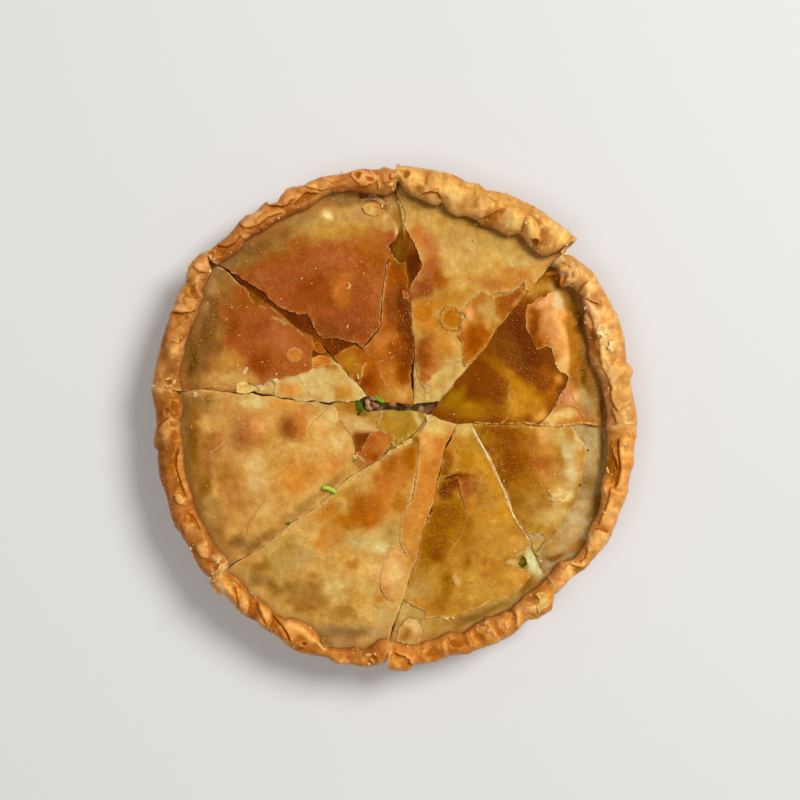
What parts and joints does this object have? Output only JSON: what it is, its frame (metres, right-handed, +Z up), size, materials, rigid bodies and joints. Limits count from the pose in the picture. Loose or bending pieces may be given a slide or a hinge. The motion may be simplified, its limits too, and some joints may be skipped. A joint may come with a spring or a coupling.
{
  "type": "lamb pie",
  "caption": "Round lamb pie with a folded rope rim and a flaky browned lid, cut into slices that still keep the whole's shape.",
  "frame": {"origin": "middle of the pie's bounding box, at the height that it rests on", "axes": "+Z up through the lid, +Y towards the rim at the top of the picture, +X towards the rim at its right"},
  "size_m": [0.2423, 0.2529, 0.0303],
  "materials": {
    "pastry": "baked, golden brown, flaky",
    "filling": "cooked minced lamb with herbs"
  },
  "bodies": {
    "root": {"slice_1_pastry": "pastry", "slice_1_filling": "filling", "slice_2_pastry": "pastry", "slice_2_filling": "filling", "slice_3_pastry": "pastry", "slice_3_filling": "filling", "slice_4_pastry": "pastry", "slice_4_filling": "filling", "slice_5_pastry": "pastry", "slice_5_filling": "filling", "slice_6_pastry": "pastry", "slice_6_filling": "filling", "slice_7_pastry": "pastry", "slice_7_filling": "filling", "slice_8_pastry": "pastry", "slice_8_filling": "filling"}
  },
  "joints": []
}
